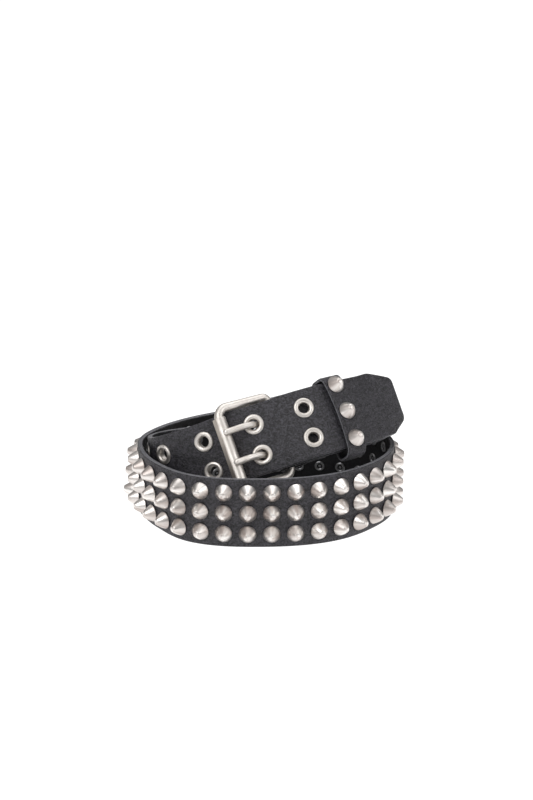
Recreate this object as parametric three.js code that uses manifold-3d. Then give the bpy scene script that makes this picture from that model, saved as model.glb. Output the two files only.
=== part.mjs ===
// A studded leather belt, fastened and coiled into two turns that stand on the strap's lower edge.
// Millimetres, +Z up, the front towards -Y. The strap is worked out from one table, its route.
import * as THREE from "three";
import { mergeVertices } from "three/addons/utils/BufferGeometryUtils.js";
import Module from "manifold-3d";

const wasm = await Module();
wasm.setup();

// Driving sizes
const clearance = 0.3;
const strap = { width: 40, thickness: 3, step: 4, fineStep: 2 };
const coil = { halfWidth: 77.4, halfDepth: 62.3 };
const layers = { gap: 2.2 };
const tip = { beyondEyelet: 73, chamferAcross: 7, chamferAlong: 16 };
const fold = { leg: 22, seamLength: 6, seamShare: 0.8, bendSteps: 8 };
const studs = { diameter: 10.1, height: 6.2, tipDiameter: 3.6, sides: 10, sunk: 1 };
const rows = { pitch: 13.3, spacing: 12.1, flat: 10.9, fromFront: -49, firstFromHinge: 76.4, beforeEyelet: 16 };
const eyelets = {
  pairs: 5, pitch: 30, pairSpacing: 18, diameter: 11, hole: 6, wall: 0.7, flange: 0.8, back: 0.5, sides: 10,
};
const buckle = {
  rod: 5.2, sides: 10, span: 27.6, overhang: 4.1, corner: 5, hingeFromEyelet: 12, lift: 1.2,
};
const roller = { diameter: 7.6, length: 37.4, sides: 14 };
const prong = {
  diameter: 2.6, sides: 8, steps: 12, eyeWidth: 3, eyeWall: 1.5, eyeSides: 12, slotPlay: 0.6, steep: 0.8,
};
const keeper = {
  width: 12, thickness: 2, fromHinge: 38.4, play: 1, bow: 4, corner: 2, cornerSteps: 4, studSpacing: 16.5,
};
const buckledPair = 1;
const meshTolerance = 0.03;

// The route, counted in degrees about the coil's centre: 0 is the front, 90 the right, 180 the rear.
// reach is a share of the coil's radius at that angle, lift a share of the strap's width for its
// middle line, and lean the tilt of the strap's top in degrees, outwards if positive.
const fullTurn = 360;
const tipRows = [
  { turn: 725, reach: 0.61, lift: 1.41, lean: -28 },
  { turn: 755, reach: 0.635, lift: 1.565, lean: -33 },
  { turn: 785, reach: 0.725, lift: 1.64, lean: -36 },
  { turn: 798, reach: 0.775, lift: 1.61, lean: -36 },
];
const routeRows = [
  ...tipRows.map((row) => ({ ...row, turn: row.turn - 2 * fullTurn, layer: -1 })),
  { turn: 98, reach: 0.865, lift: 1.49, lean: -40 },
  { turn: 116, reach: 0.975, lift: 1.34, lean: -40 },
  { turn: 134, reach: 1.075, lift: 1.16, lean: -32 },
  { turn: 152, reach: 1.115, lift: 0.945, lean: -25 },
  { turn: 172, reach: 1.1, lift: 0.74, lean: -16 },
  { turn: 195, reach: 1.055, lift: 0.57, lean: -11 },
  { turn: 220, reach: 1.055, lift: 0.496, lean: -9 },
  { turn: 245, reach: 1.025, lift: 0.493, lean: -10 },
  { turn: 262, reach: 1.012, lift: 0.495, lean: -8 },
  { turn: 275, reach: 0.972, lift: 0.496, lean: -2 },
  { turn: 300, reach: 0.988, lift: 0.496, lean: 1 },
  { turn: 320, reach: 1.055, lift: 0.496, lean: -1 },
  { turn: 360, reach: 1.025, lift: 0.496, lean: -2 },
  { turn: 400, reach: 1.02, lift: 0.496, lean: -2 },
  { turn: 420, reach: 0.996, lift: 0.496, lean: -1 },
  { turn: 440, reach: 1, lift: 0.496, lean: -1 },
  { turn: 462, reach: 1, lift: 0.505, lean: 0 },
  { turn: 482, reach: 0.995, lift: 0.525, lean: -3 },
  { turn: 502, reach: 0.9, lift: 0.52, lean: -2 },
  { turn: 522, reach: 0.8, lift: 0.51, lean: -1 },
  { turn: 545, reach: 0.725, lift: 0.505, lean: -1 },
  { turn: 570, reach: 0.69, lift: 0.505, lean: -3 },
  { turn: 595, reach: 0.73, lift: 0.505, lean: -3 },
  { turn: 620, reach: 0.855, lift: 0.535, lean: 8 },
  { turn: 640, reach: 0.845, lift: 0.655, lean: 4 },
  { turn: 665, reach: 0.755, lift: 0.94, lean: -9 },
  { turn: 695, reach: 0.655, lift: 1.24, lean: -23 },
  ...tipRows,
  { turn: 812, reach: 0.905, lift: 1.58, lean: -37 },
  { turn: 825, reach: 1.175, lift: 1.56, lean: -18 },
].map((row) => ({ layer: 0, ...row }));

const leather = { color: 0x1b1b1f, roughness: 0.62, metalness: 0 };
const nickel = { color: 0xc4bdb2, roughness: 0.34, metalness: 1 };

// A smooth value of one column at any turn, by a Hermite curve through the rows.
function slopeAt(column, i) {
  const chord = (a, b) => (b[column] - a[column]) / (b.turn - a.turn);
  const [before, row, after] = [routeRows[i - 1], routeRows[i], routeRows[i + 1]];
  if (!before) return chord(row, after);
  if (!after) return chord(before, row);
  const [back, ahead] = [row.turn - before.turn, after.turn - row.turn];
  return (chord(before, row) * ahead + chord(row, after) * back) / (back + ahead);
}

function columnAt(column, turn) {
  const next = routeRows.findIndex((row) => row.turn > turn);
  const i = next < 0 ? routeRows.length - 2 : Math.max(next - 1, 0);
  const [a, b] = [routeRows[i], routeRows[i + 1]];
  const span = b.turn - a.turn;
  const t = (turn - a.turn) / span;
  const [t2, t3] = [t * t, t * t * t];
  return (
    (2 * t3 - 3 * t2 + 1) * a[column] +
    (t3 - 2 * t2 + t) * span * slopeAt(column, i) +
    (3 * t2 - 2 * t3) * b[column] +
    (t3 - t2) * span * slopeAt(column, i + 1)
  );
}

const vertical = new THREE.Vector3(0, 0, 1);
const lookStep = 0.5;

// The middle line before the two layers under the buckle are set apart.
function basePoint(turn) {
  const angle = THREE.MathUtils.degToRad(turn);
  const a = coil.halfWidth - strap.thickness / 2;
  const b = coil.halfDepth - strap.thickness / 2;
  const radius = (a * b) / Math.hypot(b * Math.sin(angle), a * Math.cos(angle));
  const reach = radius * columnAt("reach", turn);
  return new THREE.Vector3(
    reach * Math.sin(angle), -reach * Math.cos(angle), strap.width * columnAt("lift", turn),
  );
}

function frameFrom(pointAt, turn) {
  const along = pointAt(turn + lookStep).sub(pointAt(turn - lookStep)).normalize();
  const side = along.clone().cross(vertical).normalize();
  const lean = THREE.MathUtils.degToRad(columnAt("lean", turn));
  const up = side.clone().cross(along).multiplyScalar(Math.cos(lean)).addScaledVector(side, Math.sin(lean));
  return { point: pointAt(turn), along, up, out: along.clone().cross(up).normalize() };
}

function routePoint(turn) {
  const layer = THREE.MathUtils.clamp(columnAt("layer", turn), -1, 0);
  if (layer === 0) return basePoint(turn);
  const { point, out } = frameFrom(basePoint, turn);
  return point.addScaledVector(out, layer * (strap.thickness + layers.gap));
}

// Lengths along the strap, measured every degree.
const lengthTable = [{ turn: routeRows[0].turn, length: 0, point: routePoint(routeRows[0].turn) }];
for (let turn = routeRows[0].turn + 1; turn <= routeRows[routeRows.length - 1].turn; turn++) {
  const last = lengthTable[lengthTable.length - 1];
  const point = routePoint(turn);
  lengthTable.push({ turn, length: last.length + last.point.distanceTo(point), point });
}

function lookUp(from, to, value) {
  const next = lengthTable.findIndex((entry) => entry[from] > value);
  const i = next < 0 ? lengthTable.length - 2 : Math.max(next - 1, 0);
  const [a, b] = [lengthTable[i], lengthTable[i + 1]];
  return a[to] + ((b[to] - a[to]) * (value - a[from])) / (b[from] - a[from]);
}

const turnAt = (length) => lookUp("length", "turn", length);
const lengthAt = (turn) => lookUp("turn", "length", turn);
const frameAt = (length) => frameFrom(routePoint, turnAt(length));

// Places along the strap: the first eyelet pair is the one nearest the tip.
const firstEyeletTurn = 757;
const firstEyelet = lengthAt(firstEyeletTurn);
const eyeletLength = (pair) => firstEyelet - eyelets.pitch * pair;
const hingeOverTip = eyeletLength(buckledPair) + buckle.hingeFromEyelet;
const hingeLength = lengthAt(turnAt(hingeOverTip) - 2 * fullTurn);
const tipEnd = firstEyelet + tip.beyondEyelet;
const keeperLength = hingeOverTip + keeper.fromHinge;

function meshOf(name, geometry, look) {
  const mesh = new THREE.Mesh(geometry, new THREE.MeshStandardMaterial(look));
  mesh.name = name;
  return mesh;
}

// A solid through rings of points that all have the same count, closed by flat ends or onto itself.
function sweep(rings, closed = false) {
  const count = rings[0].length;
  const positions = rings.flat().flatMap((p) => [p.x, p.y, p.z]);
  const index = [];
  const spans = closed ? rings.length : rings.length - 1;
  for (let i = 0; i < spans; i++) {
    const [here, there] = [i * count, ((i + 1) % rings.length) * count];
    for (let k = 0; k < count; k++) {
      const next = (k + 1) % count;
      index.push(here + k, here + next, there + next, here + k, there + next, there + k);
    }
  }
  const last = (rings.length - 1) * count;
  for (let k = 1; !closed && k < count - 1; k++) {
    index.push(0, k + 1, k, last, last + k, last + k + 1);
  }
  const geometry = new THREE.BufferGeometry();
  geometry.setAttribute("position", new THREE.Float32BufferAttribute(positions, 3));
  geometry.setIndex(index);
  return geometry;
}

function solidOf(geometry) {
  const bare = geometry.clone();
  bare.deleteAttribute("normal");
  bare.deleteAttribute("uv");
  const merged = mergeVertices(bare, 1e-3);
  return new wasm.Manifold(
    new wasm.Mesh({
      numProp: 3,
      vertProperties: Float32Array.from(merged.attributes.position.array),
      triVerts: Uint32Array.from(merged.index.array),
    }),
  );
}

function geometryOf(solid) {
  const mesh = solid.getMesh();
  const geometry = new THREE.BufferGeometry();
  geometry.setAttribute("position", new THREE.BufferAttribute(mesh.vertProperties, 3));
  geometry.setIndex(new THREE.BufferAttribute(mesh.triVerts, 1));
  return geometry.toNonIndexed();
}

// Turned about its own axis, a lathe's shape points along local Y; these set that axis along a vector.
function setAlong(geometry, axis, place) {
  const turnTo = new THREE.Quaternion().setFromUnitVectors(new THREE.Vector3(0, 1, 0), axis);
  return geometry.applyQuaternion(turnTo).translate(place.x, place.y, place.z);
}

function turned(profile, sides, axis, place) {
  const points = profile.map(([radius, height]) => new THREE.Vector2(radius, height));
  return setAlong(new THREE.LatheGeometry(points, sides), axis, place);
}

const spot = (frame, along, across, outward) =>
  frame.point
    .clone()
    .addScaledVector(frame.along, along)
    .addScaledVector(frame.up, across)
    .addScaledVector(frame.out, outward);

// How far the bent strap stands out of its own tangent plane within a radius of a place on it,
// and how far a twisted flat between two stations can stand out of the true surface.
function swell(length, radius) {
  const middle = frameAt(length);
  const twist = frameAt(length + strap.fineStep / 2).up.dot(frameAt(length - strap.fineStep / 2).out);
  const warp = (Math.abs(twist) * strap.width) / 8;
  const heights = [-radius, 0, radius].flatMap((step) => {
    const near = frameAt(length + step);
    return [-1, 1].map((side) => spot(near, 0, side * radius, 0).sub(middle.point).dot(middle.out));
  });
  return { front: warp + Math.max(0, ...heights), back: warp + Math.max(0, ...heights.map((h) => -h)) };
}

// The strap

const hingeRadius = buckle.rod / 2 + clearance + strap.thickness / 2;
const bendLength = Math.PI * hingeRadius;

function foldFrame(length) {
  const before = hingeLength - length;
  const start = frameAt(hingeLength);
  const axis = spot(start, 0, 0, -hingeRadius);
  if (before <= bendLength) {
    const angle = before / hingeRadius;
    const [cos, sin] = [Math.cos(angle), Math.sin(angle)];
    const out = start.out.clone().multiplyScalar(cos).addScaledVector(start.along, -sin);
    const along = start.along.clone().multiplyScalar(cos).addScaledVector(start.out, sin);
    return { point: axis.addScaledVector(out, hingeRadius), along, up: start.up, out };
  }
  const back = before - bendLength;
  const over = frameAt(hingeLength + back);
  const closing = THREE.MathUtils.smoothstep(back, 0, fold.leg - fold.seamLength);
  const depth = THREE.MathUtils.lerp(2 * hingeRadius, strap.thickness + clearance, closing);
  return {
    point: spot(over, 0, 0, -depth),
    along: over.along.clone().negate(),
    up: over.up,
    out: over.out.clone().negate(),
  };
}

function halfWidthAt(length) {
  const into = Math.max(0, length - (tipEnd - tip.chamferAlong)) / tip.chamferAlong;
  return strap.width / 2 - tip.chamferAcross * into;
}

function strapRing(length) {
  const frame = length < hingeLength ? foldFrame(length) : frameAt(length);
  const half = halfWidthAt(length);
  const thick = strap.thickness / 2;
  return [
    spot(frame, 0, -half, thick),
    spot(frame, 0, -half, -thick),
    spot(frame, 0, half, -thick),
    spot(frame, 0, half, thick),
  ];
}

function stations(from, to, step) {
  const count = Math.max(1, Math.round((to - from) / step));
  return Array.from({ length: count + 1 }, (_, i) => from + ((to - from) * i) / count);
}

// The strap bends between its stud columns, so that each column stands on a flat.
function strapSheet() {
  const foldEnd = hingeLength - bendLength - fold.leg;
  const flats = studColumns().flatMap((length) => [length - rows.flat / 2, length + rows.flat / 2]);
  const chamferStart = tipEnd - tip.chamferAlong;
  const lengths = [
    ...stations(foldEnd, hingeLength - bendLength, strap.step).slice(0, -1),
    ...stations(hingeLength - bendLength, hingeLength, bendLength / fold.bendSteps).slice(0, -1),
    ...stations(hingeLength, flats[0], strap.step).slice(0, -1),
    ...flats.slice(0, -1),
    ...stations(flats[flats.length - 1], keeperLength, strap.fineStep).slice(0, -1),
    ...stations(keeperLength, chamferStart, strap.step).slice(0, -1),
    ...stations(chamferStart, tipEnd, strap.step),
  ];
  return solidOf(sweep(lengths.map(strapRing)));
}

// The seam that closes the fold round the buckle: it ties the two layers.
function foldSeam() {
  const end = hingeLength + fold.leg;
  const middle = frameAt(end - fold.seamLength / 2);
  const box = new THREE.BoxGeometry(fold.seamLength, strap.width * fold.seamShare, strap.thickness);
  const turnTo = new THREE.Matrix4().makeBasis(middle.along, middle.up, middle.out);
  const place = spot(middle, 0, 0, -strap.thickness / 2);
  return solidOf(box.applyMatrix4(turnTo).translate(place.x, place.y, place.z));
}

// A cone with a flat tip, as wide as its size says where it meets the leather's face.
function studProfile(sunk) {
  const { diameter, tipDiameter, height } = studs;
  const spread = (sunk * (diameter - tipDiameter)) / (2 * height);
  return [[0, -sunk], [diameter / 2 + spread, -sunk], [tipDiameter / 2, height], [0, height]];
}

function studColumns() {
  const front = lengthAt(fullTurn) + rows.fromFront;
  const start = hingeLength + rows.firstFromHinge;
  const end = eyeletLength(eyelets.pairs - 1) - rows.beforeEyelet;
  const first = Math.ceil((start - front) / rows.pitch);
  const last = Math.floor((end - front) / rows.pitch);
  return Array.from({ length: last - first + 1 }, (_, i) => front + (first + i) * rows.pitch);
}

function studSolids() {
  return studColumns().flatMap((length) => {
    const frame = frameAt(length);
    return [-1, 0, 1].map((row) => {
      const foot = spot(frame, 0, row * rows.spacing, strap.thickness / 2);
      return solidOf(turned(studProfile(studs.sunk), studs.sides, frame.out, foot));
    });
  });
}

function eyeletPlaces() {
  return Array.from({ length: eyelets.pairs }, (_, pair) => pair).flatMap((pair) =>
    [1, -1].map((side) => ({
      name: `eyelet_${pair + 1}_${side > 0 ? "upper" : "lower"}`,
      length: eyeletLength(pair),
      frame: frameAt(eyeletLength(pair)),
      across: (side * eyelets.pairSpacing) / 2,
    })),
  );
}

function eyeletHoles() {
  const radius = eyelets.hole / 2 + eyelets.wall + clearance;
  const half = strap.thickness;
  const profile = [[0, -half], [radius, -half], [radius, half], [0, half]];
  return eyeletPlaces().map(({ frame, across }) =>
    solidOf(turned(profile, eyelets.sides, frame.out, spot(frame, 0, across, 0))),
  );
}

// The slots in the fold that the prongs' eyes turn in.
function prongSlots() {
  const start = frameAt(hingeLength);
  const eye = buckle.rod / 2 + clearance + prong.eyeWall + clearance;
  const along = { from: -hingeRadius - strap.thickness, to: eye };
  const deep = 2 * (hingeRadius + strap.thickness);
  return [1, -1].map((side) => {
    const box = new THREE.BoxGeometry(along.to - along.from, prong.eyeWidth + 2 * prong.slotPlay, deep);
    const turnTo = new THREE.Matrix4().makeBasis(start.along, start.up, start.out);
    const place = spot(start, (along.from + along.to) / 2, (side * eyelets.pairSpacing) / 2,
      -hingeRadius);
    return solidOf(box.applyMatrix4(turnTo).translate(place.x, place.y, place.z));
  });
}

// The lower edge of the outer turn is pressed flat by the floor, at height zero.
function studdedStrap() {
  const whole = wasm.Manifold.union([strapSheet(), foldSeam(), ...studSolids()]);
  const cuts = wasm.Manifold.union([...eyeletHoles(), ...prongSlots()]);
  const onFloor = whole.subtract(cuts).trimByPlane([0, 0, 1], 0);
  return meshOf("studded_strap", geometryOf(solidOf(geometryOf(onFloor)).simplify(meshTolerance)), leather);
}

// The eyelets: a barrel through the strap with a flange on each face
function eyelet({ name, length, frame, across }) {
  const bulge = swell(length, eyelets.diameter / 2);
  const [bore, barrel, rim] = [eyelets.hole / 2, eyelets.hole / 2 + eyelets.wall, eyelets.diameter / 2];
  const front = strap.thickness / 2 + clearance + bulge.front;
  const back = -(strap.thickness / 2 + clearance + bulge.back);
  const profile = [
    [bore, back - eyelets.back],
    [rim - eyelets.wall, back - eyelets.back],
    [rim - eyelets.wall, back],
    [barrel, back],
    [barrel, front],
    [rim, front],
    [rim - eyelets.flange, front + eyelets.flange],
    [bore, front + eyelets.flange],
    [bore, back - eyelets.back],
  ];
  return meshOf(name, turned(profile, eyelets.sides, frame.out, spot(frame, 0, across, 0)), nickel);
}

// The buckle, in a frame whose origin is the hinge bar's axis: x to the outer bar, y up the strap,
// z out of the coil
const hinge = (() => {
  const start = frameAt(hingeLength);
  const origin = spot(start, 0, 0, -hingeRadius);
  const over = frameAt(hingeOverTip - buckle.span);
  const aim = spot(over, 0, 0, strap.thickness / 2 + clearance + buckle.lift + roller.diameter / 2);
  const y = start.up.clone();
  const x = aim.sub(origin);
  x.addScaledVector(y, -x.dot(y));
  const reach = x.length();
  x.normalize();
  return { origin, reach, x, y, z: y.clone().cross(x) };
})();

const buckleSpot = (x, y, z) =>
  hinge.origin
    .clone()
    .addScaledVector(hinge.x, x)
    .addScaledVector(hinge.y, y)
    .addScaledVector(hinge.z, z);

function buckleFrame() {
  const halfHeight = strap.width / 2 + buckle.overhang;
  const corners = [
    { x: hinge.reach, y: halfHeight, from: 0 },
    { x: 0, y: halfHeight, from: 90 },
    { x: 0, y: -halfHeight, from: 180 },
    { x: hinge.reach, y: -halfHeight, from: 270 },
  ];
  const rings = corners.flatMap(({ x, y, from }) => {
    const [cx, cy] = [x - Math.sign(x - 1) * buckle.corner, y - Math.sign(y) * buckle.corner];
    return [0, 30, 60, 90].map((step) => {
      const angle = THREE.MathUtils.degToRad(from + step);
      const [cos, sin] = [Math.cos(angle), Math.sin(angle)];
      return Array.from({ length: buckle.sides }, (_, k) => {
        const round = (k * Math.PI * 2) / buckle.sides;
        const outward = buckle.corner + (Math.cos(round) * buckle.rod) / 2;
        return buckleSpot(cx + cos * outward, cy + sin * outward, (Math.sin(round) * buckle.rod) / 2);
      });
    });
  });
  return meshOf("buckle_frame", sweep(rings, true), nickel);
}

function buckleRoller() {
  const [inner, outer, half] = [buckle.rod / 2 + clearance, roller.diameter / 2, roller.length / 2];
  const profile = [[inner, -half], [outer, -half], [outer, half], [inner, half], [inner, -half]];
  return meshOf("roller", turned(profile, roller.sides, hinge.y, buckleSpot(hinge.reach, 0, 0)), nickel);
}

// A prong: an eye round the hinge bar and a bent rod through its eyelet to the top of the roller
function buckleProng(side) {
  const across = (side * eyelets.pairSpacing) / 2;
  const inner = buckle.rod / 2 + clearance;
  const [eyeOuter, half] = [inner + prong.eyeWall, prong.eyeWidth / 2];
  const eyeProfile = [[inner, -half], [eyeOuter, -half], [eyeOuter, half], [inner, half], [inner, -half]];
  const eye = solidOf(turned(eyeProfile, prong.eyeSides, hinge.y, buckleSpot(0, across, 0)));
  const hole = frameAt(eyeletLength(buckledPair));
  const deep = strap.thickness / 2 + clearance + eyelets.back;
  const high = strap.thickness / 2 + clearance + eyelets.flange;
  const radius = prong.diameter / 2;
  const rest = buckleSpot(hinge.reach, across, roller.diameter / 2 + clearance + radius);
  const path = new THREE.CatmullRomCurve3(
    [
      buckleSpot(inner + prong.eyeWall / 2, across, 0),
      spot(hole, prong.steep + radius, across, -deep - radius),
      spot(hole, prong.steep, across, -strap.thickness / 2),
      spot(hole, -prong.steep, across, high),
      spot(hole, -prong.steep - prong.diameter, across, high + 1.5 * radius),
      rest,
      rest.clone().addScaledVector(hinge.x, radius),
    ],
    false,
    "centripetal",
  );
  const rod = Array.from({ length: prong.steps + 1 }, (_, i) => {
    const t = i / prong.steps;
    const centre = path.getPointAt(t);
    const tangent = path.getTangentAt(t);
    const normal = hinge.y.clone().cross(tangent).normalize();
    const binormal = tangent.clone().cross(normal);
    return Array.from({ length: prong.sides }, (_, k) => {
      const round = (k * Math.PI * 2) / prong.sides;
      return centre
        .clone()
        .addScaledVector(normal, Math.cos(round) * radius)
        .addScaledVector(binormal, Math.sin(round) * radius);
    });
  });
  const name = side > 0 ? "prong_upper" : "prong_lower";
  return meshOf(name, geometryOf(eye.add(solidOf(sweep(rod)))), nickel);
}

// The keeper: a leather loop round both layers, with three studs of its own
const keeperFrame = frameAt(keeperLength);

function roundedOutline(path, left, right, bottom, top, radius) {
  path.moveTo(left + radius, bottom);
  path.lineTo(right - radius, bottom);
  path.absarc(right - radius, bottom + radius, radius, -Math.PI / 2, 0);
  path.lineTo(right, top - radius);
  path.absarc(right - radius, top - radius, radius, 0, Math.PI / 2);
  path.lineTo(left + radius, top);
  path.absarc(left + radius, top - radius, radius, Math.PI / 2, Math.PI);
  path.lineTo(left, bottom + radius);
  path.absarc(left + radius, bottom + radius, radius, Math.PI, Math.PI * 1.5);
  return path;
}

const keeperFront = strap.thickness / 2 + keeper.play;

function keeperLoop() {
  const back = -(strap.thickness * 1.5 + layers.gap + keeper.play);
  const [low, high] = [-strap.width / 2 - keeper.bow, strap.width / 2 + keeper.play];
  const { thickness, corner, width, cornerSteps } = keeper;
  const shape = roundedOutline(new THREE.Shape(), back - thickness, keeperFront + thickness,
    low - thickness, high + thickness, corner + thickness);
  shape.holes.push(roundedOutline(new THREE.Path(), back, keeperFront, low, high, corner));
  const loop = new THREE.ExtrudeGeometry(shape, {
    depth: width, bevelEnabled: false, curveSegments: cornerSteps,
  });
  loop.translate(0, 0, -keeper.width / 2);
  const basis = new THREE.Matrix4().makeBasis(keeperFrame.out, keeperFrame.up,
    keeperFrame.along.clone().negate());
  basis.setPosition(keeperFrame.point);
  return meshOf("keeper", loop.applyMatrix4(basis), leather);
}

function keeperStud(row) {
  const foot = spot(keeperFrame, 0, row * keeper.studSpacing, keeperFront + keeper.thickness + clearance);
  const name = `keeper_stud_${2 - row}`;
  return meshOf(name, turned(studProfile(0), studs.sides, keeperFrame.out, foot), nickel);
}

const belt = new THREE.Group();
belt.add(studdedStrap());
eyeletPlaces().forEach((place) => belt.add(eyelet(place)));
belt.add(buckleFrame(), buckleRoller(), buckleProng(1), buckleProng(-1));
belt.add(keeperLoop(), keeperStud(1), keeperStud(0), keeperStud(-1));

// The origin is the middle of the belt's box, on the floor.
const box = new THREE.Box3().setFromObject(belt);
const middle = box.getCenter(new THREE.Vector3());
belt.position.set(-middle.x, -middle.y, 0);

export default belt;
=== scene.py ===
"""Looks of the studded belt: smooth leather strap, turned cone studs, rolled eyelets and a roller buckle.

Sizes are millimetres until a mesh is made, in the same frame as the solids."""
import math
import random

import bpy
import numpy as np
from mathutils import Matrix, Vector


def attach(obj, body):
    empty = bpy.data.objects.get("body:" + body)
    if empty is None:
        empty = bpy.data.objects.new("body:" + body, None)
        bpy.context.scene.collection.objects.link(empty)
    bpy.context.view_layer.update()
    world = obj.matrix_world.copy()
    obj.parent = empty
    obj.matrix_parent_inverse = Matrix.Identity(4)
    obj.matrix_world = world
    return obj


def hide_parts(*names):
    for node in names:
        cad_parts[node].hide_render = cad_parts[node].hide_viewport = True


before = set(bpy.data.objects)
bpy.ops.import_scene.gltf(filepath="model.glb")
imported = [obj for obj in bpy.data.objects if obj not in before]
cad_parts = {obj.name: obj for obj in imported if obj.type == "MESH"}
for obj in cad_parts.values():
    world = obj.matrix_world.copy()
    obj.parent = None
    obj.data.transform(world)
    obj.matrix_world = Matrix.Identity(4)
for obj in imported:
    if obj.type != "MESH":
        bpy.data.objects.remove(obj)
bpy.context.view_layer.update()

MM = 0.001
CENTRE = np.array([0.4874, -3.5051, 0.0])  # of the coil, in the belt's frame

# Sizes shared with the solids, but for the prongs' rod, which is drawn as thick as it looks
CLEARANCE = 0.3
WIDTH, THICK = 40.0, 3.0
HALF_WIDTH, HALF_DEPTH = 77.4, 62.3
LAYER_GAP = 2.2
TIP_BEYOND, CHAMFER_ACROSS, CHAMFER_ALONG = 73.0, 7.0, 16.0
FOLD_LEG, SEAM_LENGTH = 22.0, 6.0
STUD, STUD_HEIGHT, STUD_TIP = 10.1, 6.2, 3.6
PITCH, SPACING, FROM_FRONT, FIRST_FROM_HINGE, BEFORE_EYELET = 13.3, 12.1, -49.0, 76.4, 16.0
PAIRS, PAIR_PITCH, PAIR_SPACING = 5, 30.0, 18.0
ROD, SPAN, OVERHANG, HINGE_FROM_EYELET, LIFT = 5.2, 27.6, 4.1, 12.0, 1.2
ROLLER, ROLLER_LENGTH = 7.6, 37.4
PRONG, PRONG_EYE, PRONG_WALL, STEEP = 3.7, 3.0, 1.5, 0.8
KEEPER_WIDTH, KEEPER_THICK, KEEPER_FROM_HINGE, KEEPER_PLAY, KEEPER_BOW = 12.0, 2.0, 38.4, 1.0, 4.0
KEEPER_SPACING = 16.5
FLANGE, EYELET_BACK = 0.8, 0.5

# The route's rows: turn in degrees about the coil's centre, with 0 at the front and 90 at the right; reach
# as a share of the coil's radius; lift as a share of the strap's width; lean in degrees, outwards if
# positive. The buckle's end runs one layer under the free end.
FULL_TURN = 360
FIRST_EYELET_TURN = 757
TIP_ROWS = [
    (725, 0.61, 1.41, -28), (755, 0.635, 1.565, -33), (785, 0.725, 1.64, -36), (798, 0.775, 1.61, -36),
]
UNDER_ROWS = [(turn - 2 * FULL_TURN, reach, lift, lean) for turn, reach, lift, lean in TIP_ROWS]
MAIN_ROWS = [
    (98, 0.865, 1.49, -40), (116, 0.975, 1.34, -40), (134, 1.075, 1.16, -32), (152, 1.115, 0.945, -25),
    (172, 1.1, 0.74, -16), (195, 1.055, 0.57, -11), (220, 1.055, 0.496, -9), (245, 1.025, 0.493, -10),
    (262, 1.012, 0.495, -8), (275, 0.972, 0.496, -2), (300, 0.988, 0.496, 1), (320, 1.055, 0.496, -1),
    (360, 1.025, 0.496, -2), (400, 1.02, 0.496, -2), (420, 0.996, 0.496, -1), (440, 1, 0.496, -1),
    (462, 1, 0.505, 0), (482, 0.995, 0.525, -3), (502, 0.9, 0.52, -2), (522, 0.8, 0.51, -1),
    (545, 0.725, 0.505, -1), (570, 0.69, 0.505, -3), (595, 0.73, 0.505, -3), (620, 0.855, 0.535, 8),
    (640, 0.845, 0.655, 4), (665, 0.755, 0.94, -9), (695, 0.655, 1.24, -23),
    *TIP_ROWS,
    (812, 0.905, 1.58, -37), (825, 1.175, 1.56, -18),
]
ROUTE = np.array([(*row, -1) for row in UNDER_ROWS] + [(*row, 0) for row in MAIN_ROWS], float)
TURN_COLUMN, REACH_COLUMN, LIFT_COLUMN, LEAN_COLUMN, LAYER_COLUMN = range(5)
TURNS = ROUTE[:, TURN_COLUMN]
LOOK_STEP = 0.5
UP = np.array([0.0, 0.0, 1.0])


# The route: the strap's middle line as a smooth function of the turn, then of the length

def slopes():
    """The slope of every column at every row."""
    chords = (ROUTE[1:] - ROUTE[:-1]) / (TURNS[1:] - TURNS[:-1])[:, None]
    gaps = TURNS[1:] - TURNS[:-1]
    inner = (chords[:-1] * gaps[1:, None] + chords[1:] * gaps[:-1, None]) / (gaps[1:] + gaps[:-1])[:, None]
    return np.vstack([chords[:1], inner, chords[-1:]])


SLOPES = slopes()


def column(k, turn):
    """One column of the route at a turn, smooth between its rows."""
    turn = np.asarray(turn, float)
    i = np.clip(np.searchsorted(TURNS, turn, side="right") - 1, 0, len(TURNS) - 2)
    span = TURNS[i + 1] - TURNS[i]
    t = (turn - TURNS[i]) / span
    return (
        (2 * t**3 - 3 * t**2 + 1) * ROUTE[i, k]
        + (t**3 - 2 * t**2 + t) * span * SLOPES[i, k]
        + (3 * t**2 - 2 * t**3) * ROUTE[i + 1, k]
        + (t**3 - t**2) * span * SLOPES[i + 1, k]
    )


def unit(v):
    return v / np.linalg.norm(v, axis=-1, keepdims=True)


def base_point(turn):
    """The middle line's point at a turn, before its layer is counted in."""
    angle = np.radians(turn)
    a, b = HALF_WIDTH - THICK / 2, HALF_DEPTH - THICK / 2
    radius = a * b / np.hypot(b * np.sin(angle), a * np.cos(angle))
    reach = radius * column(REACH_COLUMN, turn)
    lift = WIDTH * column(LIFT_COLUMN, turn)
    return np.stack([reach * np.sin(angle), -reach * np.cos(angle), lift], -1)


def frame_from(point_at, turn):
    """The strap's point, and its directions along, up and out, at a turn."""
    along = unit(point_at(turn + LOOK_STEP) - point_at(turn - LOOK_STEP))
    side = unit(np.cross(along, UP))
    lean = np.radians(column(LEAN_COLUMN, turn))[..., None]
    up = np.cross(side, along) * np.cos(lean) + side * np.sin(lean)
    return point_at(turn), along, up, unit(np.cross(along, up))


def route_point(turn):
    layer = np.clip(column(LAYER_COLUMN, turn), -1, 0)[..., None]
    point, _, _, out = frame_from(base_point, turn)
    return point + out * layer * (THICK + LAYER_GAP)


TABLE_TURNS = np.arange(TURNS[0], TURNS[-1] + 1)
TABLE_POINTS = route_point(TABLE_TURNS)
TABLE_LENGTHS = np.concatenate([[0], np.cumsum(np.linalg.norm(np.diff(TABLE_POINTS, axis=0), axis=1))])


def turn_at(length):
    return np.interp(length, TABLE_LENGTHS, TABLE_TURNS)


def length_at(turn):
    return float(np.interp(turn, TABLE_TURNS, TABLE_LENGTHS))


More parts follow.
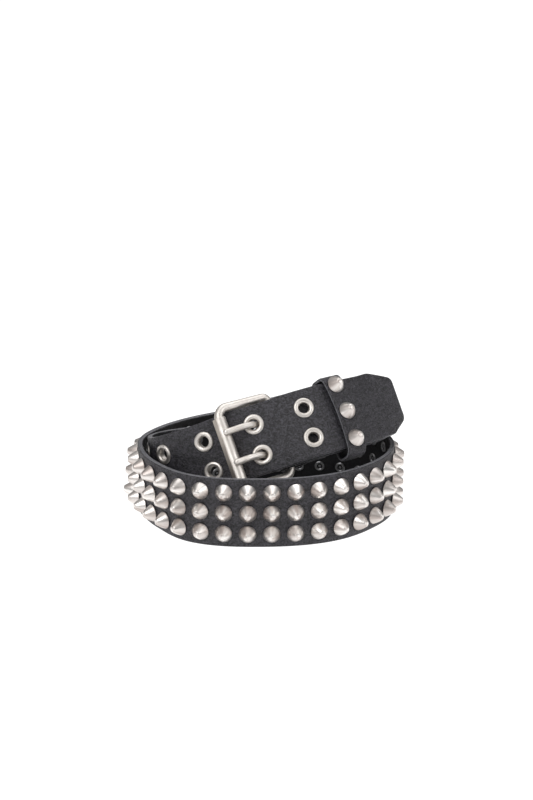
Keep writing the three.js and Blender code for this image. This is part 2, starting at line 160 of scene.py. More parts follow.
def frame_at(length):
    return frame_from(route_point, np.asarray(turn_at(length)))


def eyelet_length(pair):
    return length_at(FIRST_EYELET_TURN) - PAIR_PITCH * pair


BUCKLED_PAIR = 1
HINGE_OVER_TIP = eyelet_length(BUCKLED_PAIR) + HINGE_FROM_EYELET
HINGE = length_at(float(turn_at(HINGE_OVER_TIP)) - 2 * FULL_TURN)
TIP_END = eyelet_length(0) + TIP_BEYOND
KEEPER = HINGE_OVER_TIP + KEEPER_FROM_HINGE
HINGE_RADIUS = ROD / 2 + CLEARANCE + THICK / 2
BEND = math.pi * HINGE_RADIUS
AT_HINGE = frame_at(HINGE)


def spot(at, along, across, outward):
    """A point away from a frame's own, by so much in each of its directions."""
    point, a, u, o = at
    return point + a * along + u * across + o * outward


def fold_frame(length):
    """The strap's frame before the hinge: round the bar, then back along its own inner face."""
    before = HINGE - length
    _, along, up, out = AT_HINGE
    axis = spot(AT_HINGE, 0, 0, -HINGE_RADIUS)
    if before <= BEND:
        angle = before / HINGE_RADIUS
        o = out * math.cos(angle) - along * math.sin(angle)
        a = along * math.cos(angle) + out * math.sin(angle)
        return axis + o * HINGE_RADIUS, a, up, o
    back = before - BEND
    over = frame_at(HINGE + back)
    t = min(1.0, back / (FOLD_LEG - SEAM_LENGTH))
    closing = t * t * (3 - 2 * t)
    depth = 2 * HINGE_RADIUS * (1 - closing) + (THICK + CLEARANCE) * closing
    return spot(over, 0, 0, -depth), -over[1], over[2], -over[3]


# Meshes

def make(name, points, faces, materials, uvs, face_material=None, painted_reflections=None, sharp=None):
    """A piece of the belt, from points in millimetres."""
    mesh = bpy.data.meshes.new(name)
    mesh.from_pydata(((np.asarray(points) + CENTRE) * MM).tolist(), [], faces)
    for material in materials:
        mesh.materials.append(material)
    if face_material is not None:
        mesh.polygons.foreach_set("material_index", face_material)
    layer = mesh.uv_layers.new(name="UVMap")
    layer.data.foreach_set("uv", np.asarray(uvs, np.float32).ravel())
    if painted_reflections is not None:
        attribute = mesh.attributes.new("painted_reflection", "FLOAT", "POINT")
        attribute.data.foreach_set("value", np.asarray(painted_reflections, np.float32))
    mesh.polygons.foreach_set("use_smooth", [True] * len(mesh.polygons))
    mesh.update()
    if sharp:
        mesh.set_sharp_from_angle(angle=math.radians(sharp))
    piece = bpy.data.objects.new(name, mesh)
    bpy.context.scene.collection.objects.link(piece)
    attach(piece, "root")
    return piece


def tube(rings, closed=False, caps=True):
    """Points, faces and UVs of a skin through rings (n, m, 3), each ring closed."""
    n, m = rings.shape[:2]
    spans = n if closed else n - 1
    faces, uvs = [], []
    for i in range(spans):
        j = (i + 1) % n
        for k in range(m):
            beside = (k + 1) % m
            faces.append((i * m + k, i * m + beside, j * m + beside, j * m + k))
            u0, u1, v0, v1 = i / spans, (i + 1) / spans, k / m, (k + 1) / m
            uvs += [(u0, v0), (u0, v1), (u1, v1), (u1, v0)]
    if caps and not closed:
        faces.append(tuple(reversed(range(m))))
        faces.append(tuple((n - 1) * m + k for k in range(m)))
        uvs += [(0, 0)] * (2 * m)
    return rings.reshape(-1, 3), faces, uvs


def flipped(faces):
    return [tuple(reversed(face)) for face in faces]


def lathe(profile, sides, at, twist=0.0):
    """Rings of a turned shape: its profile (radius, height) about the out direction of a frame."""
    point, along, up, out = at
    angles = twist + np.arange(sides) * 2 * math.pi / sides
    around = np.cos(angles)[:, None] * along + np.sin(angles)[:, None] * up
    return np.stack([point + around * r + out * h for r, h in profile])


def circle(centre, x, y, radius, sides):
    angles = np.arange(sides) * 2 * math.pi / sides
    return centre + np.cos(angles)[:, None] * x * radius + np.sin(angles)[:, None] * y * radius


# Materials

def nodes_of(name):
    material = bpy.data.materials.new(name)
    material.use_nodes = True
    tree = material.node_tree
    return material, tree, tree.nodes["Principled BSDF"]


def add(tree, kind, settings=(), **inputs):
    node = tree.nodes.new(kind)
    for key, value in dict(settings).items():
        setattr(node, key, value)
    for key, value in inputs.items():
        node.inputs[key.replace("_", " ")].default_value = value
    return node


def ramp(tree, source, low, high, from_min=0.3, from_max=0.7):
    """A number from source, mapped to low..high."""
    node = add(tree, "ShaderNodeMapRange", From_Min=from_min, From_Max=from_max, To_Min=low, To_Max=high)
    tree.links.new(source, node.inputs["Value"])
    return node.outputs["Result"]


def mix_colours(tree, source, low, high, from_min=0.3, from_max=0.7):
    node = tree.nodes.new("ShaderNodeValToRGB")
    node.color_ramp.elements[0].position, node.color_ramp.elements[1].position = from_min, from_max
    node.color_ramp.elements[0].color, node.color_ramp.elements[1].color = (*low, 1), (*high, 1)
    tree.links.new(source, node.inputs["Fac"])
    return node.outputs["Color"]


def bump(tree, source, distance, strength, under=None):
    node = add(tree, "ShaderNodeBump", Strength=strength, Distance=distance)
    tree.links.new(source, node.inputs["Height"])
    if under is not None:
        tree.links.new(under, node.inputs["Normal"])
    return node.outputs["Normal"]


def leather_material(name, dark, light, rough, grain):
    material, tree, shader = nodes_of(name)
    place = add(tree, "ShaderNodeTexCoord").outputs["Object"]
    cells = add(tree, "ShaderNodeTexVoronoi", {"feature": "SMOOTH_F1"}, Scale=1250.0, Smoothness=0.6)
    fine = add(tree, "ShaderNodeTexNoise", Scale=900.0, Detail=3.0, Roughness=0.6)
    creases = add(tree, "ShaderNodeTexNoise", Scale=520.0, Detail=5.0, Roughness=0.62, Distortion=1.2)
    broad = add(tree, "ShaderNodeTexNoise", Scale=55.0, Detail=2.0)
    for node in (cells, fine, broad):
        tree.links.new(place, node.inputs["Vector"])
    stretch = add(tree, "ShaderNodeMapping", Scale=(0.65, 0.65, 1.5), Rotation=(0.35, 0.35, 0.0))
    tree.links.new(place, stretch.inputs["Vector"])
    tree.links.new(stretch.outputs["Vector"], creases.inputs["Vector"])
    # The colour's specks are partly the grain and its creases, partly painted highlights: light specks
    # standing in for the sheen the grain catches.
    both = add(tree, "ShaderNodeMath", {"operation": "ADD"})
    tree.links.new(fine.outputs["Fac"], both.inputs[0])
    tree.links.new(creases.outputs["Fac"], both.inputs[1])
    grain_and_painted_sheen = ramp(tree, both.outputs[0], 0.0, 1.0, 0.86, 1.18)
    tree.links.new(mix_colours(tree, grain_and_painted_sheen, dark, light, 0.0, 1.0), shader.inputs["Base Color"])
    tree.links.new(ramp(tree, broad.outputs["Fac"], rough - 0.06, rough + 0.08), shader.inputs["Roughness"])
    normal = bump(tree, broad.outputs["Fac"], 0.0016, 0.25)
    normal = bump(tree, creases.outputs["Fac"], 0.0009, 0.45 * grain, normal)
    normal = bump(tree, cells.outputs["Distance"], 0.00035, 0.5 * grain, normal)
    normal = bump(tree, fine.outputs["Fac"], 0.00012, 0.35 * grain, normal)
    tree.links.new(normal, shader.inputs["Normal"])
    shader.inputs["Specular IOR Level"].default_value = 0.5
    return material


def metal_material(name, dark, light, rough, with_painted_reflections=False):
    material, tree, shader = nodes_of(name)
    shader.inputs["Metallic"].default_value = 1.0
    place = add(tree, "ShaderNodeTexCoord").outputs["Object"]
    wear = add(tree, "ShaderNodeTexNoise", Scale=160.0, Detail=3.0, Roughness=0.5)
    tree.links.new(place, wear.inputs["Vector"])
    # On the studs the colour follows painted reflections, bands that run from rim to tip, with a little
    # random tone mixed in.
    if with_painted_reflections:
        painted_reflection = add(tree, "ShaderNodeAttribute", {"attribute_name": "painted_reflection"}).outputs["Fac"]
        blend = add(tree, "ShaderNodeMath", {"operation": "MULTIPLY_ADD"})
        blend.inputs[1].default_value, blend.inputs[2].default_value = 0.3, 0.0
        tree.links.new(wear.outputs["Fac"], blend.inputs[0])
        total = add(tree, "ShaderNodeMath", {"operation": "MULTIPLY_ADD"})
        total.inputs[1].default_value = 0.7
        tree.links.new(painted_reflection, total.inputs[0])
        tree.links.new(blend.outputs[0], total.inputs[2])
        source, low, high = total.outputs[0], 0.2, 0.8
        shader.inputs["Anisotropic"].default_value = 0.35
        shader.inputs["Anisotropic Rotation"].default_value = 0.25
        tangent = add(tree, "ShaderNodeTangent", {"direction_type": "UV_MAP"})
        tree.links.new(tangent.outputs["Tangent"], shader.inputs["Tangent"])
    else:
        source, low, high = wear.outputs["Fac"], 0.3, 0.7
    tree.links.new(mix_colours(tree, source, dark, light, low, high), shader.inputs["Base Color"])
    tree.links.new(ramp(tree, source, rough + 0.08, rough - 0.05, low, high), shader.inputs["Roughness"])
    polish = add(tree, "ShaderNodeTexNoise", Scale=700.0, Detail=2.0, Roughness=0.5)
    tree.links.new(place, polish.inputs["Vector"])
    normal = bump(tree, polish.outputs["Fac"], 0.00004, 0.04)
    tree.links.new(normal, shader.inputs["Normal"])
    return material


LEATHER = leather_material("belt_leather", (0.004, 0.0037, 0.005), (0.050, 0.047, 0.058), 0.42, 1.8)
# The inner faces of strap and keeper are painted darker: painted shade for the inside of the coil.
LEATHER_BACK_PAINTED_SHADE = leather_material("belt_back_painted_shade", (0.006, 0.006, 0.007), (0.013, 0.013, 0.015), 0.52, 0.8)
# The cut edges are a lighter grey: partly their edge paint, partly a painted highlight for the light they
# catch.
EDGE_PAINT_AND_HIGHLIGHT = leather_material("belt_cut_edge_painted_highlight", (0.10, 0.10, 0.11), (0.17, 0.17, 0.185), 0.42, 0.5)
# The studs' range from brownish grey to near white is painted reflection.
TURNED = metal_material("nickel_turned", (0.52, 0.46, 0.43), (0.92, 0.89, 0.86), 0.36, with_painted_reflections=True)
NICKEL = metal_material("nickel_satin", (0.66, 0.62, 0.58), (0.78, 0.74, 0.70), 0.44)
# The roller's flat face: a rougher nickel, painted darker as painted shade.
NICKEL_ROUGH_PAINTED_SHADE = metal_material("nickel_rough_painted_shade", (0.50, 0.455, 0.41), (0.58, 0.53, 0.48), 0.55)
RIVET = metal_material("rivet_steel", (0.40, 0.40, 0.41), (0.56, 0.56, 0.57), 0.34)


# The camera stands as the photograph's did

ELEVATION, DISTANCE = 0.3531, 0.89195  # radians and metres
AIM_HEIGHT = 20
LENS, SHIFT = 67.15, (0.0030, 0.0925)


def build_camera():
    aim = Vector(((CENTRE + [0, 0, AIM_HEIGHT]) * MM).tolist())
    away = Vector((0, -math.cos(ELEVATION), math.sin(ELEVATION)))
    camera = bpy.data.objects.new("camera", bpy.data.cameras.new("camera"))
    bpy.context.scene.collection.objects.link(camera)
    camera.location = aim + away * DISTANCE
    camera.rotation_euler = away.to_track_quat("Z", "Y").to_euler()
    camera.data.lens = LENS
    camera.data.shift_x, camera.data.shift_y = SHIFT
    camera.data.clip_start, camera.data.clip_end = 0.05, 60
    bpy.context.scene.camera = camera


build_camera()


# The strap

CORNER = [(0.6, 1.5), (0.32, 1.46), (0.12, 1.32), (0.02, 1.1), (0.0, 0.8), (0.0, 0.3), (0.22, 0.08)]
EDGE_POINTS = CORNER + [(inset, -height) for inset, height in reversed(CORNER)]
FACE_POINTS = 11  # across each face of the strap
FACE, BACK, CUT_EDGE = 0, 1, 2  # the leather's materials in their order
END_CORNER, CORNER_LENGTH, CORNER_DEPTH = 3.2, 0.72, 0.75  # the free end's rounding, the last two as shares
CHAMFER_SOFTNESS = 1.6


def section(half):
    """The strap's cross-section (across, outward) with two layers showing at each cut edge."""
    flat = np.linspace(-1, 1, FACE_POINTS + 2)[1:-1] * (half - EDGE_POINTS[0][0])
    right = [(half - inset, height) for inset, height in EDGE_POINTS]
    left = [(-half + inset, height) for inset, height in reversed(EDGE_POINTS)]
    outer = [(x, THICK / 2) for x in flat]
    inner = [(x, -THICK / 2) for x in reversed(flat)]
    return np.array(outer + right + inner + left)


def half_width(length):
    """Half the strap's width: chamfered at the free end, with its corners rounded."""
    start = TIP_END - CHAMFER_ALONG
    half = WIDTH / 2 - CHAMFER_ACROSS * max(0.0, length - start) / CHAMFER_ALONG
    last = length - (TIP_END - END_CORNER * CORNER_LENGTH)
    if last > 0:
        t = min(1.0, last / (END_CORNER * CORNER_LENGTH))
        half -= END_CORNER * CORNER_DEPTH * (1 - math.sqrt(max(0.0, 1 - t * t)))
    near = CHAMFER_SOFTNESS - abs(length - start)
    if near > 0:
        half -= CHAMFER_ACROSS / CHAMFER_ALONG * near**2 / (4 * CHAMFER_SOFTNESS)
    return half


def strap_stations():
    """The lengths of the strap's sections, closest in the fold and at the free end."""
    fold_end = HINGE - BEND - FOLD_LEG
    chamfer_start = TIP_END - CHAMFER_ALONG - 2
    parts = [
        np.arange(fold_end, HINGE - BEND, 1.0),
        np.linspace(HINGE - BEND, HINGE, 28, endpoint=False),
        np.arange(HINGE, chamfer_start, 1.25),
        np.arange(chamfer_start, TIP_END - 2.6, 0.5),
        TIP_END - 2.4 * (1 - np.sin(np.linspace(0, 1, 12) * math.pi / 2)),
    ]
    return np.concatenate(parts)


def leather_kinds(flats, edge):
    """Each side of a cross-section as FACE, BACK or CUT_EDGE, for so many points on a face and an edge."""
    kinds = np.full(2 * (flats + edge), FACE)
    kinds[flats + 3 : flats + edge - 4] = CUT_EDGE
    kinds[flats + edge - 1 : 2 * flats + edge] = BACK
    kinds[2 * flats + edge + 3 : -4] = CUT_EDGE
    return kinds


def build_strap():
    lengths = strap_stations()
    rings = []
    for length in lengths:
        at = fold_frame(length) if length < HINGE else frame_at(length)
        ring = section(half_width(length))
        rings.append(at[0] + at[2] * ring[:, :1] + at[3] * ring[:, 1:])
    rings = np.array(rings)
    rings[..., 2] = np.maximum(rings[..., 2], 0.0)
    points, faces, uvs = tube(rings)
    kinds = leather_kinds(FACE_POINTS, len(EDGE_POINTS))
    material = np.concatenate([np.tile(kinds, len(lengths) - 1), [CUT_EDGE, CUT_EDGE]])
    return make("strap", points, faces, [LEATHER, LEATHER_BACK_PAINTED_SHADE, EDGE_PAINT_AND_HIGHLIGHT], uvs, material, sharp=50)


strap = build_strap()
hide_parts("studded_strap")


def cut(piece, cutters):
    """Cuts every cutter from a piece, and throws the cutters away."""
    for cutter in cutters:
        modifier = piece.modifiers.new("cut", "BOOLEAN")
        modifier.object, modifier.operation, modifier.solver = cutter, "DIFFERENCE", "EXACT"
    graph = bpy.context.evaluated_depsgraph_get()
    mesh = bpy.data.meshes.new_from_object(piece.evaluated_get(graph))
    piece.modifiers.clear()
    piece.data = mesh
    for cutter in cutters:
        bpy.data.objects.remove(cutter)


def cutter_of(points, faces):
    mesh = bpy.data.meshes.new("cutter")
    mesh.from_pydata(((np.asarray(points) + CENTRE) * MM).tolist(), [], faces)
    mesh.materials.append(EDGE_PAINT_AND_HIGHLIGHT)
    made = bpy.data.objects.new("cutter", mesh)
    bpy.context.scene.collection.objects.link(made)
    return made


HOLE_RADIUS, SLOT_PLAY = 3.9, 0.6
SIDES_OF_PAIR = ((1, "upper"), (-1, "lower"))


def eyelet_cutters():
    """A round cutter for each eyelet's hole."""
    made = []
    for pair in range(PAIRS):
        at = frame_at(eyelet_length(pair))
        for side, _ in SIDES_OF_PAIR:
            centre = (spot(at, 0, side * PAIR_SPACING / 2, 0), *at[1:])
            rings = lathe([(HOLE_RADIUS, -THICK), (HOLE_RADIUS, THICK)], 32, centre)
            made.append(cutter_of(*tube(rings)[:2]))
    return made


def slot_cutters():
    """A square cutter for each prong's slot in the fold."""
    low, high = -HINGE_RADIUS - THICK, ROD / 2 + CLEARANCE + PRONG_WALL + CLEARANCE
    half = PRONG_EYE / 2 + SLOT_PLAY
    made = []
    for side, _ in SIDES_OF_PAIR:
        middle = side * PAIR_SPACING / 2
        outline = [(low, middle - half), (high, middle - half), (high, middle + half), (low, middle + half)]
        ends = (-2 * HINGE_RADIUS - THICK, THICK)
        corners = [[spot(AT_HINGE, along, across, end) for along, across in outline] for end in ends]
        made.append(cutter_of(*tube(np.array(corners))[:2]))
    return made


cut(strap, eyelet_cutters() + slot_cutters())


# The studs

CROWN = 0.14  # how far a stud's flank swells between rim and tip
STUD_SIDES = 40
STUD_SHIFT, STUD_LEAN, KEEPER_STUD_LEAN = 0.15, 1.5, 1.0  # how a hand-set stud strays, in mm and degrees
REFLECTION_WAVES = (1, 2, 3, 5, 8, 13)


def stud_profile():
    """A short rolled rim, a crowned cone and a small blunt tip."""
    radius, height = STUD / 2, STUD_HEIGHT
    rim = [(0.0, 0.1), (radius - 0.75, 0.12), (radius - 0.3, 0.15), (radius - 0.06, 0.26), (radius, 0.42),
           (radius - 0.02, 0.6), (radius - 0.13, 0.82)]
    blunt = STUD_TIP / 2
    tip = [(blunt + 0.2, height - 0.6), (blunt + 0.02, height - 0.32), (blunt - 0.25, height - 0.15),
           (blunt - 0.65, height - 0.06), (blunt - 1.2, height - 0.01), (0.0, height)]
    (r0, h0), (r1, h1) = rim[-1], tip[0]
    cone = [(r0 + (r1 - r0) * t + CROWN * math.sin(math.pi * t), h0 + (h1 - h0) * t)
            for t in (0.08, 0.3, 0.6, 0.92)]
    return rim + cone + tip


def joined(name, parts, material):
    """One nickel piece of many turned parts, each with its painted reflection bands."""
    points, faces, uvs, painted_reflections, offset = [], [], [], [], 0
    for part_points, part_faces, part_uvs, part_reflections in parts:
        points.append(part_points)
        faces += [tuple(i + offset for i in face) for face in part_faces]
        uvs += part_uvs
        painted_reflections.append(part_reflections)
        offset += len(part_points)
    painted_reflections = np.concatenate(painted_reflections)
    return make(name, np.concatenate(points), faces, [material], uvs, painted_reflections=painted_reflections, sharp=60)


def stud(at, rng):
    """One stud with its own painted reflections: lighter and darker bands of colour that run from rim to tip.
    """
    profile = stud_profile()
    rings = lathe(profile, STUD_SIDES, at, rng.random() * math.tau)
    points, faces, uvs = tube(rings, caps=False)
    angles = np.arange(STUD_SIDES) * math.tau / STUD_SIDES
    reflection_bands = np.zeros(STUD_SIDES)
    for k in REFLECTION_WAVES:
        height = rng.uniform(0.4, 1) / k**0.5
        reflection_bands += height * np.cos(k * angles + rng.random() * math.tau)
    reflection_bands = 0.5 + 0.5 * reflection_bands / max(1e-6, np.abs(reflection_bands).max())
    return points, faces, uvs, np.tile(reflection_bands, len(profile))


def tilted(at, rng, most):
    """The same place, leaning by up to most degrees, as a hand-set stud does."""
    point, along, up, out = at
    a, b = (math.radians(rng.uniform(-most, most)) for _ in range(2))
    out = unit(out + along * a + up * b)
    along = unit(along - out * np.dot(along, out))
    return point, along, np.cross(out, along), out


def stud_columns():
    """The lengths of the columns, counted from the one next to the coil's front."""
    front = length_at(FULL_TURN) + FROM_FRONT
    first = math.ceil((HINGE + FIRST_FROM_HINGE - front) / PITCH)
    last = math.floor((eyelet_length(PAIRS - 1) - BEFORE_EYELET - front) / PITCH)
    return [front + i * PITCH for i in range(first, last + 1)]


RIVET_RING = [
    (3.25, -0.1), (3.25, 0.25), (3.12, 0.5), (2.85, 0.68), (2.45, 0.74), (2.05, 0.66), (1.8, 0.45),
    (1.7, 0.15), (1.7, -0.1),
]
RIVET_STEM = [(0.0, -0.1), (0.85, -0.1), (0.85, 0.12), (0.6, 0.26), (0.3, 0.32), (0.0, 0.33)]
RIVET_SIDES = 24


def rivet_back(at):
    """The back of a stud's rivet: a rolled ring, and the stem's end in its hollow."""
    points, faces, uvs = tube(lathe(RIVET_RING, RIVET_SIDES, at).transpose(1, 0, 2), closed=True)
    ring = (points, flipped(faces), uvs, np.full(len(points), 0.5))
    points, faces, uvs = tube(lathe(RIVET_STEM, RIVET_SIDES, at), caps=False)
    return [ring, (points, faces, uvs, np.full(len(points), 0.5))]


def build_studs(rng):
    studs, backs = [], []
    for length in stud_columns():
        at = frame_at(length)
        for row in (1, 0, -1):
            across = row * SPACING
            stray = rng.uniform(-STUD_SHIFT, STUD_SHIFT)
            foot = tilted((spot(at, stray, across, THICK / 2), *at[1:]), rng, STUD_LEAN)
            studs.append(stud(foot, rng))
            inner = (spot(at, 0, across, -THICK / 2), at[1], -at[2], -at[3])
            backs += rivet_back(inner)
    joined("studs", studs, TURNED)
    joined("rivet_backs", backs, RIVET)


rng = random.Random(7)
build_studs(rng)


# The eyelets: a rolled flange, a barrel and a washer behind

EYELET_PROFILE = [
    (5.8, 1.3), (5.8, 1.72), (5.66, 2.05), (5.32, 2.32), (4.8, 2.46), (4.2, 2.44), (3.66, 2.24), (3.26, 1.9),
    (3.06, 1.45), (3.0, 0.9), (3.0, -1.3), (3.1, -1.72), (3.4, -2.02), (3.85, -2.14), (4.35, -2.08),
    (4.7, -1.85), (4.8, -1.55), (4.8, -1.3), (3.8, -1.25), (3.8, 1.25),
]


def ring_piece(name, profile, sides, at):
    """A closed turned shape: its profile is a loop."""
    rings = lathe(profile, sides, at).transpose(1, 0, 2)
    points, faces, uvs = tube(rings, closed=True)
    return make(name, points, flipped(faces), [NICKEL], uvs, sharp=70)


def build_eyelets():
    for pair in range(PAIRS):
        at = frame_at(eyelet_length(pair))
        for side, word in SIDES_OF_PAIR:
            name = f"eyelet_{pair + 1}_{word}"
            place = (spot(at, 0, side * PAIR_SPACING / 2, 0), *at[1:])
            piece = ring_piece(f"rolled_{name}", EYELET_PROFILE, 48, place)
            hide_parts(name)


build_eyelets()


# The buckle, about its hinge bar: x to the outer bar, y up the strap, z out of the coil

origin = spot(AT_HINGE, 0, 0, -HINGE_RADIUS)
over = frame_at(HINGE_OVER_TIP - SPAN)
aim_point = spot(over, 0, 0, THICK / 2 + CLEARANCE + LIFT + ROLLER / 2)
bar_y = AT_HINGE[2]
bar_x = aim_point - origin
bar_x = bar_x - bar_y * np.dot(bar_x, bar_y)
REACH = float(np.linalg.norm(bar_x))
bar_x = unit(bar_x)
bar_z = np.cross(bar_y, bar_x)


def bar_spot(x, y, z):
    return origin + bar_x * x + bar_y * y + bar_z * z


def build_frame():
    """The rod bent round four corners, each a row of place, first angle and radius."""
    half = WIDTH / 2 + OVERHANG
    wide, tight = 6.5, 2.7
    rings = []
    corners = [(REACH, half, 0, wide), (0, half, 90, tight), (0, -half, 180, wide), (REACH, -half, 270, wide)]
    for x, y, start_angle, corner in corners:
        cx = x - corner if x > 0 else corner
        cy = y - math.copysign(corner, y)
        for step in np.linspace(0, 90, 13):
            angle = math.radians(start_angle + step)
            outward = bar_x * math.cos(angle) + bar_y * math.sin(angle)
            rings.append(circle(bar_spot(cx, cy, 0) + outward * corner, outward, bar_z, ROD / 2, 28))
    points, faces, uvs = tube(np.array(rings), closed=True)
    piece = make("buckle_rod", points, flipped(faces), [NICKEL], uvs)
    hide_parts("buckle_frame")


build_frame()


def build_roller():
    """Sheet rolled into a tube: round on one side of its seam, flat on the other."""
    r, inner = ROLLER / 2, ROD / 2 + CLEARANCE
    # The flat face takes the rougher nickel, whose darker colour is painted shade.
    satin, rough_shaded = 0, 1
    arc = np.radians(np.linspace(138, -140, 34))
    outline = [(r * math.cos(angle), r * math.sin(angle)) for angle in arc]
    kinds = [satin] * len(outline)
    outline += [(-r + 0.25, -1.6), (-r + 0.68, 1.95), (-r + 0.95, 1.7), (-r + 1.2, 2.0)]
    kinds += [rough_shaded, satin, satin, satin]
    outline = np.array(outline)[::-1] * (-1, 1)  # the flat side looks away from the hinge
    kinds = kinds[-2::-1] + kinds[-1:]
    half = ROLLER_LENGTH / 2
    low_end = [(-half + 0.15, 0.0), (-half, 0.12), (-half, 0.9), (-half + 0.12, 1.0)]
    high_end = [(-y, scale) for y, scale in reversed(low_end)]
    rings = []
    for y, scale in low_end + high_end:
        inner_outline = unit(outline) * inner
        shape = inner_outline + (outline - inner_outline) * scale
        rings.append([bar_spot(REACH + x, y, z) for x, z in shape])
    points, faces, uvs = tube(np.array(rings), closed=True)
    material = np.tile(kinds, len(rings))
    piece = make("rolled_roller", points, faces, [NICKEL, NICKEL_ROUGH_PAINTED_SHADE], uvs, material, sharp=28)
    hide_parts("roller")


build_roller()


def smooth_path(points, count):
    """A centripetal curve through the points."""
    points = np.array([2 * points[0] - points[1], *points, 2 * points[-1] - points[-2]])
    curve = []
    for i in range(1, len(points) - 2):
        p = points[i - 1 : i + 3]
        t = np.concatenate([[0], np.cumsum(np.linalg.norm(np.diff(p, axis=0), axis=1) ** 0.5)])
        for s in np.linspace(t[1], t[2], count, endpoint=False):
            a = [(t[k + 1] - s) / (t[k + 1] - t[k]) * p[k] + (s - t[k]) / (t[k + 1] - t[k]) * p[k + 1]
                 for k in range(3)]
            b = [(t[k + 2] - s) / (t[k + 2] - t[k]) * a[k] + (s - t[k]) / (t[k + 2] - t[k]) * a[k + 1]
                 for k in range(2)]
            curve.append((t[2] - s) / (t[2] - t[1]) * b[0] + (s - t[1]) / (t[2] - t[1]) * b[1])
    return np.array([*curve, points[-2]])


PRONG_SIDES = 24


def build_prong(side, word):
    """A bent rod from the hinge bar up through its eyelet to the roller, and its eye round the bar."""
    across = side * PAIR_SPACING / 2
    inner = ROD / 2 + CLEARANCE
    radius = PRONG / 2
    hole = frame_at(eyelet_length(BUCKLED_PAIR))
    deep, high = THICK / 2 + CLEARANCE + EYELET_BACK, THICK / 2 + CLEARANCE + FLANGE
    rest = bar_spot(REACH, across, ROLLER / 2 + CLEARANCE + radius)
    line = smooth_path(
        [
            bar_spot(inner + PRONG_WALL / 2, across, 0),
            spot(hole, STEEP + radius, across, -deep - radius),
            spot(hole, STEEP, across, -THICK / 2),
            spot(hole, -STEEP, across, high),
            spot(hole, -STEEP - PRONG, across, high + radius * 1.5),
            rest,
            rest + bar_x * radius * 0.6,
        ],
        8,
    )
    tangents = unit(np.gradient(line, axis=0))
    rings = []
    for centre, tangent in zip(line, tangents):
        normal = unit(np.cross(bar_y, tangent))
        rings.append(circle(centre, normal, np.cross(tangent, normal), radius, PRONG_SIDES))
    for share in np.linspace(0.15, 1.0, 8):
        size = math.cos(share * math.pi / 2) if share < 1 else 0.02
        centre = line[-1] + tangents[-1] * radius * math.sin(share * math.pi / 2)
        rings.append(circle(centre, normal, np.cross(tangents[-1], normal), radius * size, PRONG_SIDES))
    points, faces, uvs = tube(np.array(rings))
    rod = make(f"prong_rod_{word}", points, faces, [NICKEL], uvs)
    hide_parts(f"prong_{word}")
    half, outer, bevel = PRONG_EYE / 2, inner + PRONG_WALL, 0.4
    loop = [(inner, -half), (outer - bevel, -half), (outer, -half + bevel), (outer, half - bevel),
            (outer - bevel, half), (inner, half)]
    ring_piece(f"prong_eye_{word}", loop, 32, (bar_spot(0, across, 0), bar_x, bar_z, -bar_y))


for side, word in SIDES_OF_PAIR:
    build_prong(side, word)


# The keeper: a leather loop that bows below the strap

at_keeper = frame_at(KEEPER)
KEEPER_FRONT = THICK / 2 + KEEPER_PLAY


def keeper_path():
    """The loop's middle line (outward, up) and its outward normals."""
    half = KEEPER_THICK / 2
    back = -(THICK * 1.5 + LAYER_GAP + KEEPER_PLAY) - half
    front = KEEPER_FRONT + half
    low, high = -WIDTH / 2 - KEEPER_BOW - half, WIDTH / 2 + KEEPER_PLAY + half
    corners = [
        (front, low, 4.6, -90), (front, high, 3.0, 0), (back, high, 3.0, 90), (back, low, 3.6, 180),
    ]
    middle, normals = [], []
    for x, y, corner, start_angle in corners:
        cx, cy = x - math.copysign(corner, x + 2), y - math.copysign(corner, y)
        for step in np.linspace(0, 90, 15):
            angle = math.radians(start_angle + step)
            normal = (math.cos(angle), math.sin(angle))
            middle.append((cx + corner * normal[0], cy + corner * normal[1]))
            normals.append(normal)
    return np.array(middle), np.array(normals)


def dense(middle, normals, step=1.4):
    """The same closed line with points also on its straight runs."""
    points, sides = [], []
    for i in range(len(middle)):
        a, b = middle[i], middle[(i + 1) % len(middle)]
        count = max(1, int(np.linalg.norm(b - a) / step))
        for k in range(count):
            points.append(a + (b - a) * k / count)
            sides.append(unit(normals[i] + (normals[(i + 1) % len(middle)] - normals[i]) * k / count))
    return np.array(points), np.array(sides)


def keeper_bend(x, y):
    """The loop's front is pushed out and along the strap, most at its middle."""
    share = max(0.0, 1 - (y / (WIDTH / 2 + KEEPER_BOW)) ** 2) if x > 0 else 0.0
    _, along, _, out = at_keeper
    return (out * 0.8 + along * 1.6) * share


def build_keeper():
    middle, normals = dense(*keeper_path())
    half, thick = KEEPER_WIDTH / 2, KEEPER_THICK / 2
    corner = [(0.55, thick), (0.25, thick - 0.06), (0.06, thick - 0.24), (0.0, thick - 0.5), (0.0, 0.12),
              (0.14, 0.0)]
    edge = corner + [(inset, -height) for inset, height in reversed(corner[:-1])]
    flat = np.linspace(-1, 1, 9)[1:-1] * (half - corner[0][0])
    dome = 0.12  # the outer face is a little higher in its middle
    outline = [(x, thick - dome * (x / half) ** 2) for x in flat]
    outline += [(half - inset, height) for inset, height in edge]
    outline += [(x, -thick) for x in reversed(flat)]
    outline += [(-half + inset, height) for inset, height in reversed(edge)]
    outline = np.array(outline)
    point, along, up, out = at_keeper
    rings = []
    for (x, y), (nx, ny) in zip(middle, normals):
        centre = point + out * x + up * y + keeper_bend(x, y)
        normal = out * nx + up * ny
        rings.append(centre + along * outline[:, :1] + normal * outline[:, 1:])
    points, faces, uvs = tube(np.array(rings), closed=True)
    material = np.tile(leather_kinds(len(flat), len(edge)), len(rings))
    piece = make("keeper_loop", points, faces, [LEATHER, LEATHER_BACK_PAINTED_SHADE, EDGE_PAINT_AND_HIGHLIGHT], uvs, material, sharp=50)
    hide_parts("keeper")


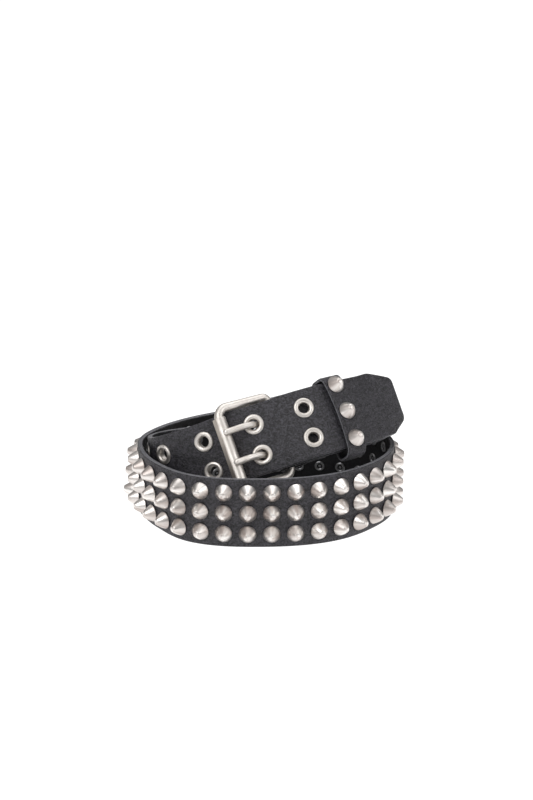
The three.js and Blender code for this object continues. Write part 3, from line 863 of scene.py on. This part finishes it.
def build_keeper_studs(rng):
    for row in (1, 0, -1):
        across = row * KEEPER_SPACING
        place = spot(at_keeper, 0, across, KEEPER_FRONT + KEEPER_THICK) + keeper_bend(1, across)
        foot = tilted((place, *at_keeper[1:]), rng, KEEPER_STUD_LEAN)
        piece = joined(f"keeper_cone_{2 - row}", [stud(foot, rng)], TURNED)
        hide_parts(f"keeper_stud_{2 - row}")


build_keeper()
build_keeper_studs(rng)


# The studio: a white floor under soft lights

def stage_floor():
    size = 14.0
    corners = [(-size, -size, 0), (size, -size, 0), (size, size, 0), (-size, size, 0)]
    mesh = bpy.data.meshes.new("floor")
    mesh.from_pydata(corners, [], [(0, 1, 2, 3)])
    material = bpy.data.materials.new("white_floor")
    material.use_nodes = True
    tree = material.node_tree
    shader = tree.nodes["Principled BSDF"]
    shader.inputs["Base Color"].default_value = (0.25, 0.25, 0.25, 1)
    shader.inputs["Roughness"].default_value = 0.9
    shader.inputs["Specular IOR Level"].default_value = 0.0
    shader.inputs["Emission Color"].default_value = (1, 1, 1, 1)
    # The white glow stops at the belt, so that the floor inside the coil lies in its shade.
    place = add(tree, "ShaderNodeTexCoord").outputs["Object"]
    scaled = add(tree, "ShaderNodeVectorMath", {"operation": "DIVIDE"})
    scaled.inputs[1].default_value = (HALF_WIDTH * MM, HALF_DEPTH * MM, 1.0)
    tree.links.new(place, scaled.inputs[0])
    length = add(tree, "ShaderNodeVectorMath", {"operation": "LENGTH"})
    tree.links.new(scaled.outputs[0], length.inputs[0])
    glow = ramp(tree, length.outputs["Value"], 0.0, 1.0, 0.9, 0.97)
    tree.links.new(glow, shader.inputs["Emission Strength"])
    mesh.materials.append(material)
    floor = bpy.data.objects.new("floor", mesh)
    bpy.context.scene.collection.objects.link(floor)


LIT_POINT = Vector((0, 0, 0.03))


def area_light(name, place, size, power):
    light = bpy.data.lights.new(name, "AREA")
    light.shape, light.size, light.energy = "DISK", size, power
    lamp = bpy.data.objects.new(name, light)
    bpy.context.scene.collection.objects.link(lamp)
    lamp.location = place
    lamp.rotation_euler = (Vector(place) - LIT_POINT).to_track_quat("Z", "Y").to_euler()


def build_sky():
    """A sky that is dim at the horizon and bright overhead."""
    world = bpy.data.worlds.new("studio")
    bpy.context.scene.world = world
    world.use_nodes = True
    sky = world.node_tree
    background = sky.nodes["Background"]
    background.inputs["Color"].default_value = (1, 0.99, 0.98, 1)
    direction = add(sky, "ShaderNodeSeparateXYZ")
    sky.links.new(add(sky, "ShaderNodeTexCoord").outputs["Generated"], direction.inputs[0])
    brightness = ramp(sky, direction.outputs["Z"], 0.06, 0.42, 0.0, 0.75)
    sky.links.new(brightness, background.inputs["Strength"])


stage_floor()
area_light("key", (-0.8, -1.0, 1.2), 1.3, 13.0)
area_light("fill", (1.1, -0.6, 0.8), 1.1, 5.0)
area_light("top", (0.1, 0.4, 1.4), 1.5, 8.0)
build_sky()
bpy.context.scene.view_settings.view_transform = "Standard"
bpy.context.scene.view_settings.look = "None"
